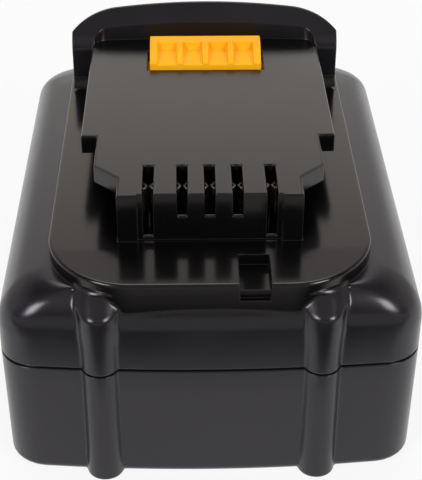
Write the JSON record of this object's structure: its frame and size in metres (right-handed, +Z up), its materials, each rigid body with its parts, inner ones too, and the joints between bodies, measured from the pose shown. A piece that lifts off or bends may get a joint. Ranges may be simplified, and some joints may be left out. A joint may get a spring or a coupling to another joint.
{
  "type": "power tool battery pack",
  "caption": "Slide-on battery pack for a cordless power tool: black two-part housing, T-shaped rail with terminal slots and a sprung latch, cells inside.",
  "frame": {"origin": "on the surface that the pack stands on, under the middle of its bounding box", "axes": "+Z up, -Y towards the terminal end, +Y towards the latch end, +X to the right when looking at the terminal end"},
  "size_m": [0.0804, 0.108, 0.0639],
  "materials": {
    "housing": "satin black moulded nylon, polished on the deck and rail",
    "latch": "satin orange-yellow moulded plastic",
    "steel": "plain steel",
    "holder": "matt dark grey plastic",
    "cell_wrap": "shrink-wrapped cell",
    "nickel": "nickel strip",
    "insulator": "insulating paper",
    "board": "solder-masked circuit board",
    "component": "moulded components",
    "contact": "plated copper alloy",
    "pad": "soft foam rubber"
  },
  "bodies": {
    "pack": {"lower_housing": "housing", "upper_housing": "housing", "housing_screws": "steel", "latch_springs": "steel", "cell_holder_left": "holder", "cell_holder_right": "holder", "cell_1": "cell_wrap", "cell_2": "cell_wrap", "cell_3": "cell_wrap", "cell_4": "cell_wrap", "cell_5": "cell_wrap", "cell_6": "cell_wrap", "cell_7": "cell_wrap", "cell_8": "cell_wrap", "cell_9": "cell_wrap", "cell_10": "cell_wrap", "nickel_strip_left_1": "nickel", "nickel_strip_left_2": "nickel", "nickel_strip_left_3": "nickel", "nickel_strip_right_1": "nickel", "nickel_strip_right_2": "nickel", "nickel_strip_right_3": "nickel", "end_insulator_left": "insulator", "end_insulator_right": "insulator", "circuit_board": "board", "board_components": "component", "board_screws": "steel", "terminal_block": "holder", "positive_terminal": "contact", "negative_terminal": "contact", "signal_terminal_1": "contact", "signal_terminal_2": "contact", "signal_terminal_3": "contact", "thermistor": "component", "hold_down_pads": "pad"},
    "latch": {"release_latch": "latch"}
  },
  "joints": [
    {"name": "latch_press", "type": "slide", "parent": "pack", "child": "latch", "axis": [0, 0, -1], "range_m": [0, 0.0045], "stiffness_N_per_m": 1200, "springref_m": -0.004, "deforming": ["latch_springs"]}
  ]
}
